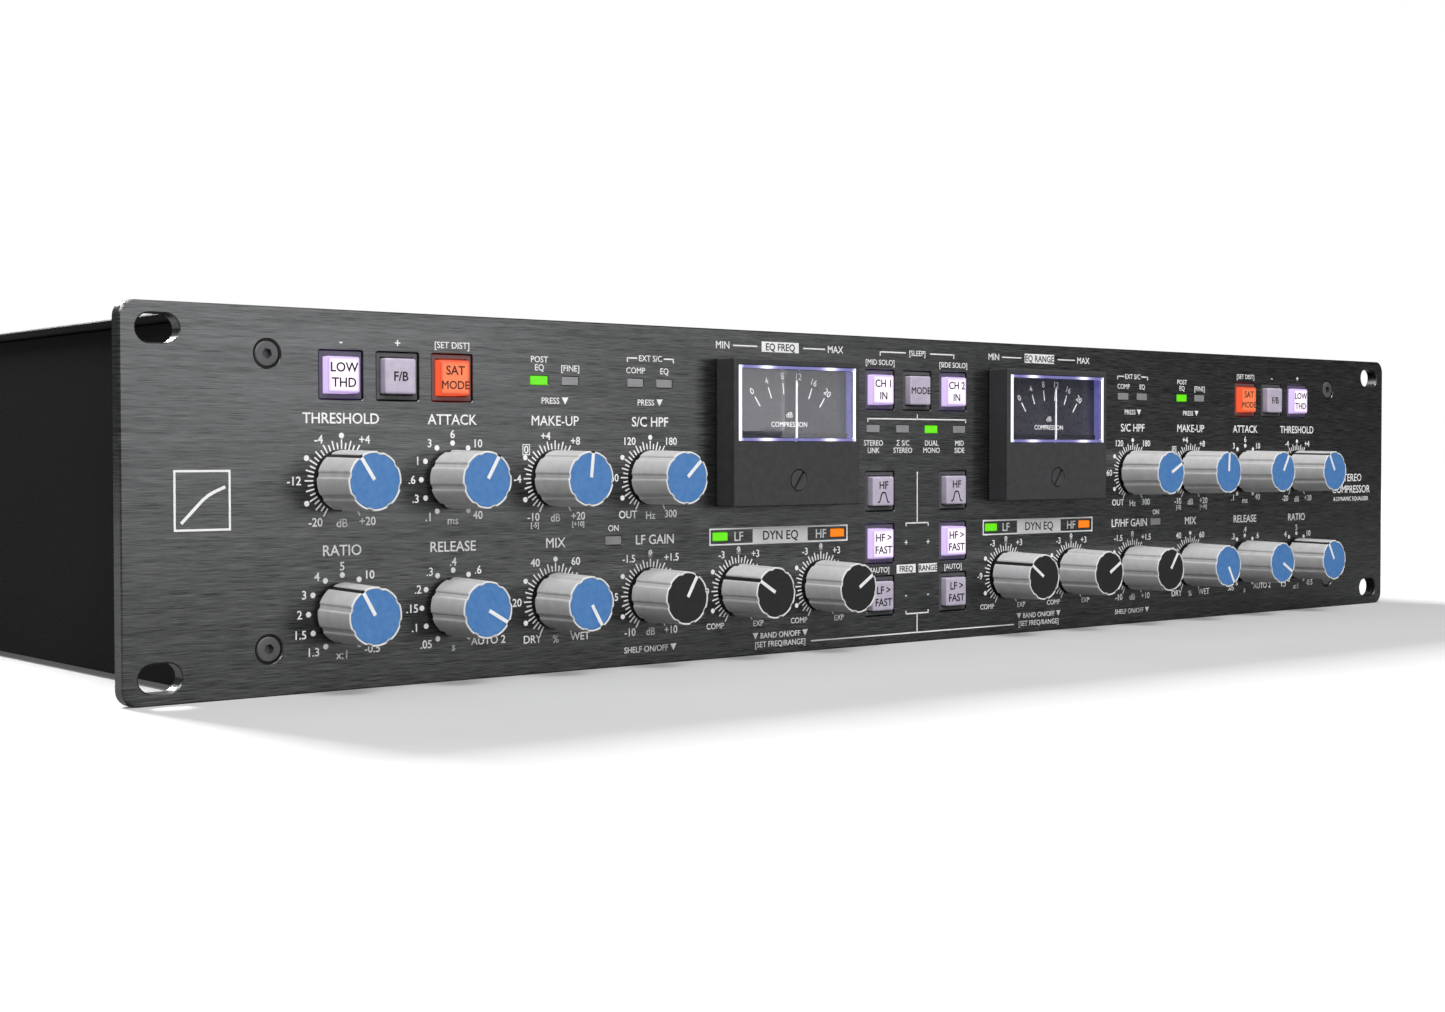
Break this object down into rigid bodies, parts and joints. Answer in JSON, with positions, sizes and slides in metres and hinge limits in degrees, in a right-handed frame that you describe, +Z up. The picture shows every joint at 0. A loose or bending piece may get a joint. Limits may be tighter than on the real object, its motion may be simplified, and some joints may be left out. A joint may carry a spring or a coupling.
{
  "type": "rack compressor",
  "caption": "Two-channel rack-mount audio compressor with mirrored rows of rotary controls, lit push buttons, status lamps and two moving-coil meters.",
  "frame": {"origin": "on the surface that the unit stands on, under the middle of its width and of its whole depth from knob faces to rear rocker", "axes": "+X to the right seen from the front, +Y from the front panel into the unit, +Z up"},
  "size_m": [0.4826, 0.3264, 0.0881],
  "materials": {
    "anodised_panel": "brushed anodised",
    "powder_coat": "fine-texture powder coat",
    "knob_grey": "satin",
    "meter_plastic": "fine texture",
    "lit_button": "satin translucent, lit",
    "orange_button": "satin translucent, lit",
    "lilac_button": "satin translucent",
    "circuit_board": "satin",
    "black_plastic": "satin",
    "steel": "turned",
    "supply_metal": "mill",
    "blue_cap": "satin",
    "black_cap": "satin",
    "printed_legend": "screen print",
    "clear_window": "clear moulded",
    "meter_scale": "printed card",
    "lamp_green": "lit",
    "lamp_orange": "lit",
    "lamp_off": "diffused",
    "screw_black": "black oxide",
    "gold_contact": "plated"
  },
  "bodies": {
    "unit": {"front_panel": "anodised_panel", "chassis_tray": "powder_coat", "top_cover": "powder_coat", "rear_panel": "powder_coat", "control_board": "circuit_board", "main_board": "circuit_board", "power_supply": "supply_metal", "mains_inlet": "black_plastic", "meter_housing_1": "meter_plastic", "meter_housing_2": "meter_plastic"},
    "knob_threshold_1": {"knob_threshold_1": "knob_grey"},
    "knob_threshold_2": {"knob_threshold_2": "knob_grey"},
    "knob_attack_1": {"knob_attack_1": "knob_grey"},
    "knob_attack_2": {"knob_attack_2": "knob_grey"},
    "knob_makeup_1": {"knob_makeup_1": "knob_grey"},
    "plunger_makeup_1": {"plunger_makeup_1": "steel"},
    "knob_makeup_2": {"knob_makeup_2": "knob_grey"},
    "plunger_makeup_2": {"plunger_makeup_2": "steel"},
    "knob_sidechain_filter_1": {"knob_sidechain_filter_1": "knob_grey"},
    "plunger_sidechain_filter_1": {"plunger_sidechain_filter_1": "steel"},
    "knob_sidechain_filter_2": {"knob_sidechain_filter_2": "knob_grey"},
    "plunger_sidechain_filter_2": {"plunger_sidechain_filter_2": "steel"},
    "knob_ratio_1": {"knob_ratio_1": "knob_grey"},
    "knob_ratio_2": {"knob_ratio_2": "knob_grey"},
    "knob_release_1": {"knob_release_1": "knob_grey"},
    "knob_release_2": {"knob_release_2": "knob_grey"},
    "knob_mix_1": {"knob_mix_1": "knob_grey"},
    "knob_mix_2": {"knob_mix_2": "knob_grey"},
    "knob_band_gain_1": {"knob_band_gain_1": "knob_grey"},
    "plunger_band_gain_1": {"plunger_band_gain_1": "steel"},
    "knob_band_gain_2": {"knob_band_gain_2": "knob_grey"},
    "plunger_band_gain_2": {"plunger_band_gain_2": "steel"},
    "knob_low_band_1": {"knob_low_band_1": "knob_grey"},
    "plunger_low_band_1": {"plunger_low_band_1": "steel"},
    "knob_low_band_2": {"knob_low_band_2": "knob_grey"},
    "plunger_low_band_2": {"plunger_low_band_2": "steel"},
    "knob_high_band_1": {"knob_high_band_1": "knob_grey"},
    "plunger_high_band_1": {"plunger_high_band_1": "steel"},
    "knob_high_band_2": {"knob_high_band_2": "knob_grey"},
    "plunger_high_band_2": {"plunger_high_band_2": "steel"},
    "button_low_distortion_1": {"button_low_distortion_1": "lit_button"},
    "button_feedback_1": {"button_feedback_1": "lilac_button"},
    "button_drive_1": {"button_drive_1": "orange_button"},
    "button_channel_in_1": {"button_channel_in_1": "lit_button"},
    "button_mode_select": {"button_mode_select": "lilac_button"},
    "button_channel_in_2": {"button_channel_in_2": "lit_button"},
    "button_drive_2": {"button_drive_2": "orange_button"},
    "button_feedback_2": {"button_feedback_2": "lilac_button"},
    "button_low_distortion_2": {"button_low_distortion_2": "lit_button"},
    "button_high_bell_1": {"button_high_bell_1": "lilac_button"},
    "button_high_bell_2": {"button_high_bell_2": "lilac_button"},
    "button_high_fast_1": {"button_high_fast_1": "lit_button"},
    "button_high_fast_2": {"button_high_fast_2": "lit_button"},
    "button_low_fast_1": {"button_low_fast_1": "lilac_button"},
    "button_low_fast_2": {"button_low_fast_2": "lilac_button"},
    "meter_needle_1": {"meter_needle_1": "black_plastic"},
    "meter_zero_screw_1": {"meter_zero_screw_1": "black_plastic"},
    "meter_needle_2": {"meter_needle_2": "black_plastic"},
    "meter_zero_screw_2": {"meter_zero_screw_2": "black_plastic"},
    "mains_rocker": {"mains_rocker": "black_plastic"}
  },
  "joints": [
    {"name": "knob_threshold_1_turn", "type": "hinge", "parent": "unit", "child": "knob_threshold_1", "pos_m": [-0.188, -0.14775, 0.04865], "axis": [0, 1, 0], "range_deg": [-116.5, 183.5]},
    {"name": "knob_threshold_2_turn", "type": "hinge", "parent": "unit", "child": "knob_threshold_2", "pos_m": [0.188, -0.14775, 0.04865], "axis": [0, 1, 0], "range_deg": [-121, 179]},
    {"name": "knob_attack_1_turn", "type": "hinge", "parent": "unit", "child": "knob_attack_1", "pos_m": [-0.158, -0.14775, 0.04865], "axis": [0, 1, 0], "range_deg": [-180, 120]},
    {"name": "knob_attack_2_turn", "type": "hinge", "parent": "unit", "child": "knob_attack_2", "pos_m": [0.158, -0.14775, 0.04865], "axis": [0, 1, 0], "range_deg": [-180, 120]},
    {"name": "plunger_makeup_1_push", "type": "slide", "parent": "unit", "child": "plunger_makeup_1", "axis": [0, 1, 0], "range_m": [0, 0.0005], "stiffness_N_per_m": 2500, "springref_m": -0.0002},
    {"name": "knob_makeup_1_turn", "type": "hinge", "parent": "plunger_makeup_1", "child": "knob_makeup_1", "pos_m": [-0.128, -0.14775, 0.04865], "axis": [0, 1, 0], "range_deg": [-155.7, 144.3]},
    {"name": "plunger_makeup_2_push", "type": "slide", "parent": "unit", "child": "plunger_makeup_2", "axis": [0, 1, 0], "range_m": [0, 0.0005], "stiffness_N_per_m": 2500, "springref_m": -0.0002},
    {"name": "knob_makeup_2_turn", "type": "hinge", "parent": "plunger_makeup_2", "child": "knob_makeup_2", "pos_m": [0.128, -0.14775, 0.04865], "axis": [0, 1, 0], "range_deg": [-153, 147]},
    {"name": "plunger_sidechain_filter_1_push", "type": "slide", "parent": "unit", "child": "plunger_sidechain_filter_1", "axis": [0, 1, 0], "range_m": [0, 0.0005], "stiffness_N_per_m": 2500, "springref_m": -0.0002},
    {"name": "knob_sidechain_filter_1_turn", "type": "hinge", "parent": "plunger_sidechain_filter_1", "child": "knob_sidechain_filter_1", "pos_m": [-0.098, -0.14775, 0.04865], "axis": [0, 1, 0], "range_deg": [-196.5, 103.5]},
    {"name": "plunger_sidechain_filter_2_push", "type": "slide", "parent": "unit", "child": "plunger_sidechain_filter_2", "axis": [0, 1, 0], "range_m": [0, 0.0005], "stiffness_N_per_m": 2500, "springref_m": -0.0002},
    {"name": "knob_sidechain_filter_2_turn", "type": "hinge", "parent": "plunger_sidechain_filter_2", "child": "knob_sidechain_filter_2", "pos_m": [0.098, -0.14775, 0.04865], "axis": [0, 1, 0], "range_deg": [-212.6, 87.4]},
    {"name": "knob_ratio_1_turn", "type": "hinge", "parent": "unit", "child": "knob_ratio_1", "pos_m": [-0.188, -0.14775, 0.01805], "axis": [0, 1, 0], "range_deg": [-120, 180]},
    {"name": "knob_ratio_2_turn", "type": "hinge", "parent": "unit", "child": "knob_ratio_2", "pos_m": [0.188, -0.14775, 0.01805], "axis": [0, 1, 0], "range_deg": [-120, 180]},
    {"name": "knob_release_1_turn", "type": "hinge", "parent": "unit", "child": "knob_release_1", "pos_m": [-0.158, -0.14775, 0.01805], "axis": [0, 1, 0], "range_deg": [-270, 30]},
    {"name": "knob_release_2_turn", "type": "hinge", "parent": "unit", "child": "knob_release_2", "pos_m": [0.158, -0.14775, 0.01805], "axis": [0, 1, 0], "range_deg": [-270, 30]},
    {"name": "knob_mix_1_turn", "type": "hinge", "parent": "unit", "child": "knob_mix_1", "pos_m": [-0.128, -0.14775, 0.01805], "axis": [0, 1, 0], "range_deg": [-300, 0]},
    {"name": "knob_mix_2_turn", "type": "hinge", "parent": "unit", "child": "knob_mix_2", "pos_m": [0.128, -0.14775, 0.01805], "axis": [0, 1, 0], "range_deg": [-300, 0]},
    {"name": "plunger_band_gain_1_push", "type": "slide", "parent": "unit", "child": "plunger_band_gain_1", "axis": [0, 1, 0], "range_m": [0, 0.0005], "stiffness_N_per_m": 2500, "springref_m": -0.0002},
    {"name": "knob_band_gain_1_turn", "type": "hinge", "parent": "plunger_band_gain_1", "child": "knob_band_gain_1", "pos_m": [-0.098, -0.14775, 0.01805], "axis": [0, 1, 0], "range_deg": [-180, 120]},
    {"name": "plunger_band_gain_2_push", "type": "slide", "parent": "unit", "child": "plunger_band_gain_2", "axis": [0, 1, 0], "range_m": [0, 0.0005], "stiffness_N_per_m": 2500, "springref_m": -0.0002},
    {"name": "knob_band_gain_2_turn", "type": "hinge", "parent": "plunger_band_gain_2", "child": "knob_band_gain_2", "pos_m": [0.098, -0.14775, 0.01805], "axis": [0, 1, 0], "range_deg": [-185, 115]},
    {"name": "plunger_low_band_1_push", "type": "slide", "parent": "unit", "child": "plunger_low_band_1", "axis": [0, 1, 0], "range_m": [0, 0.0005], "stiffness_N_per_m": 2500, "springref_m": -0.0002},
    {"name": "knob_low_band_1_turn", "type": "hinge", "parent": "plunger_low_band_1", "child": "knob_low_band_1", "pos_m": [-0.068, -0.14775, 0.01805], "axis": [0, 1, 0], "range_deg": [-92, 208]},
    {"name": "plunger_low_band_2_push", "type": "slide", "parent": "unit", "child": "plunger_low_band_2", "axis": [0, 1, 0], "range_m": [0, 0.0005], "stiffness_N_per_m": 2500, "springref_m": -0.0002},
    {"name": "knob_low_band_2_turn", "type": "hinge", "parent": "plunger_low_band_2", "child": "knob_low_band_2", "pos_m": [0.038, -0.14775, 0.01805], "axis": [0, 1, 0], "range_deg": [-95, 205]},
    {"name": "plunger_high_band_1_push", "type": "slide", "parent": "unit", "child": "plunger_high_band_1", "axis": [0, 1, 0], "range_m": [0, 0.0005], "stiffness_N_per_m": 2500, "springref_m": -0.0002},
    {"name": "knob_high_band_1_turn", "type": "hinge", "parent": "plunger_high_band_1", "child": "knob_high_band_1", "pos_m": [-0.038, -0.14775, 0.01805], "axis": [0, 1, 0], "range_deg": [-207, 93]},
    {"name": "plunger_high_band_2_push", "type": "slide", "parent": "unit", "child": "plunger_high_band_2", "axis": [0, 1, 0], "range_m": [0, 0.0005], "stiffness_N_per_m": 2500, "springref_m": -0.0002},
    {"name": "knob_high_band_2_turn", "type": "hinge", "parent": "plunger_high_band_2", "child": "knob_high_band_2", "pos_m": [0.068, -0.14775, 0.01805], "axis": [0, 1, 0], "range_deg": [-209.6, 90.4]},
    {"name": "button_low_distortion_1_press", "type": "slide", "parent": "unit", "child": "button_low_distortion_1", "axis": [0, 1, 0], "range_m": [0, 0.001], "stiffness_N_per_m": 800, "springref_m": -0.0005},
    {"name": "button_feedback_1_press", "type": "slide", "parent": "unit", "child": "button_feedback_1", "axis": [0, 1, 0], "range_m": [0, 0.001], "stiffness_N_per_m": 800, "springref_m": -0.0005},
    {"name": "button_drive_1_press", "type": "slide", "parent": "unit", "child": "button_drive_1", "axis": [0, 1, 0], "range_m": [0, 0.001], "stiffness_N_per_m": 800, "springref_m": -0.0005},
    {"name": "button_channel_in_1_press", "type": "slide", "parent": "unit", "child": "button_channel_in_1", "axis": [0, 1, 0], "range_m": [0, 0.001], "stiffness_N_per_m": 800, "springref_m": -0.0005},
    {"name": "button_mode_select_press", "type": "slide", "parent": "unit", "child": "button_mode_select", "axis": [0, 1, 0], "range_m": [0, 0.001], "stiffness_N_per_m": 800, "springref_m": -0.0005},
    {"name": "button_channel_in_2_press", "type": "slide", "parent": "unit", "child": "button_channel_in_2", "axis": [0, 1, 0], "range_m": [0, 0.001], "stiffness_N_per_m": 800, "springref_m": -0.0005},
    {"name": "button_drive_2_press", "type": "slide", "parent": "unit", "child": "button_drive_2", "axis": [0, 1, 0], "range_m": [0, 0.001], "stiffness_N_per_m": 800, "springref_m": -0.0005},
    {"name": "button_feedback_2_press", "type": "slide", "parent": "unit", "child": "button_feedback_2", "axis": [0, 1, 0], "range_m": [0, 0.001], "stiffness_N_per_m": 800, "springref_m": -0.0005},
    {"name": "button_low_distortion_2_press", "type": "slide", "parent": "unit", "child": "button_low_distortion_2", "axis": [0, 1, 0], "range_m": [0, 0.001], "stiffness_N_per_m": 800, "springref_m": -0.0005},
    {"name": "button_high_bell_1_press", "type": "slide", "parent": "unit", "child": "button_high_bell_1", "axis": [0, 1, 0], "range_m": [0, 0.001], "stiffness_N_per_m": 800, "springref_m": -0.0005},
    {"name": "button_high_bell_2_press", "type": "slide", "parent": "unit", "child": "button_high_bell_2", "axis": [0, 1, 0], "range_m": [0, 0.001], "stiffness_N_per_m": 800, "springref_m": -0.0005},
    {"name": "button_high_fast_1_press", "type": "slide", "parent": "unit", "child": "button_high_fast_1", "axis": [0, 1, 0], "range_m": [0, 0.001], "stiffness_N_per_m": 800, "springref_m": -0.0005},
    {"name": "button_high_fast_2_press", "type": "slide", "parent": "unit", "child": "button_high_fast_2", "axis": [0, 1, 0], "range_m": [0, 0.001], "stiffness_N_per_m": 800, "springref_m": -0.0005},
    {"name": "button_low_fast_1_press", "type": "slide", "parent": "unit", "child": "button_low_fast_1", "axis": [0, 1, 0], "range_m": [0, 0.001], "stiffness_N_per_m": 800, "springref_m": -0.0005},
    {"name": "button_low_fast_2_press", "type": "slide", "parent": "unit", "child": "button_low_fast_2", "axis": [0, 1, 0], "range_m": [0, 0.001], "stiffness_N_per_m": 800, "springref_m": -0.0005},
    {"name": "meter_needle_1_swing", "type": "hinge", "parent": "unit", "child": "meter_needle_1", "pos_m": [-0.053, -0.14775, 0.05265], "axis": [0, 1, 0], "range_deg": [-36, 36], "stiffness_Nm_per_rad": 0.0005},
    {"name": "meter_zero_screw_1_turn", "type": "hinge", "parent": "unit", "child": "meter_zero_screw_1", "pos_m": [-0.053, -0.14775, 0.04755], "axis": [0, 1, 0], "range_deg": [-45, 45]},
    {"name": "meter_needle_2_swing", "type": "hinge", "parent": "unit", "child": "meter_needle_2", "pos_m": [0.053, -0.14775, 0.05265], "axis": [0, 1, 0], "range_deg": [-36, 36], "stiffness_Nm_per_rad": 0.0005},
    {"name": "meter_zero_screw_2_turn", "type": "hinge", "parent": "unit", "child": "meter_zero_screw_2", "pos_m": [0.053, -0.14775, 0.04755], "axis": [0, 1, 0], "range_deg": [-45, 45]},
    {"name": "mains_rocker_tip", "type": "hinge", "parent": "unit", "child": "mains_rocker", "pos_m": [-0.185, 0.15915, 0.03205], "axis": [1, 0, 0], "range_deg": [-18, 0]}
  ]
}
